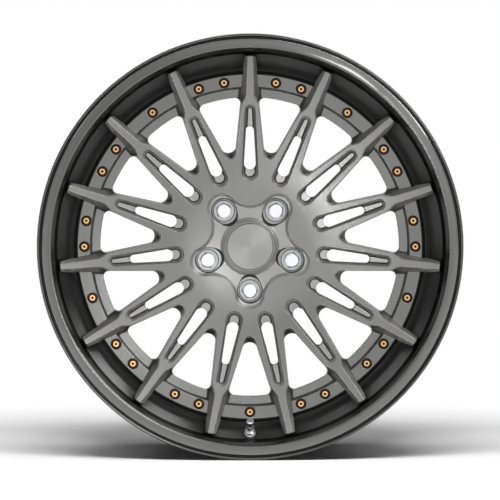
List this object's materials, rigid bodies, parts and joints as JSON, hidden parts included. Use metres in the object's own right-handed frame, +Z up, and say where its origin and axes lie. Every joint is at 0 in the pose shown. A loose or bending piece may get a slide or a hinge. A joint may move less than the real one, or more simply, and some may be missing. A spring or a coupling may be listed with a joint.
{
  "type": "alloy wheel",
  "caption": "Three-piece alloy car wheel with slim slotted spokes, a deep step lip, gold assembly bolts round the bolt ring, a plain centre cap, wheel nuts and a metal tyre valve.",
  "frame": {"origin": "middle of the rim's width on the spin axis", "axes": "+Y along the spin axis from the street side to the car side, +Z up, +X to the right seen from the street side"},
  "size_m": [0.5474, 0.254, 0.5474],
  "materials": {
    "brushed_centre": "brushed with a tinted clear coat",
    "dark_lip": "dark polished under clear coat",
    "dark_barrel": "satin dark coat",
    "sealant": "matte silicone",
    "gold_bolt": "gold plated",
    "plated_steel": "zinc plated",
    "bright_chrome": "polished chrome",
    "cap_face": "brushed metallic face",
    "spring_steel": "bright wire",
    "nickel_brass": "nickel plated",
    "black_rubber": "matte",
    "valve_brass": "plain brass"
  },
  "bodies": {
    "root": {"wheel_centre": "brushed_centre", "outer_lip": "dark_lip", "inner_barrel": "dark_barrel", "seam_sealant": "sealant", "assembly_bolts": "gold_bolt", "assembly_nuts": "plated_steel", "wheel_nuts": "bright_chrome", "centre_cap": "cap_face", "cap_spring_ring": "spring_steel", "valve_stem": "nickel_brass", "valve_grommet": "black_rubber", "valve_washer": "plated_steel", "valve_nut": "bright_chrome", "valve_core": "valve_brass", "valve_cap": "bright_chrome"}
  },
  "joints": []
}
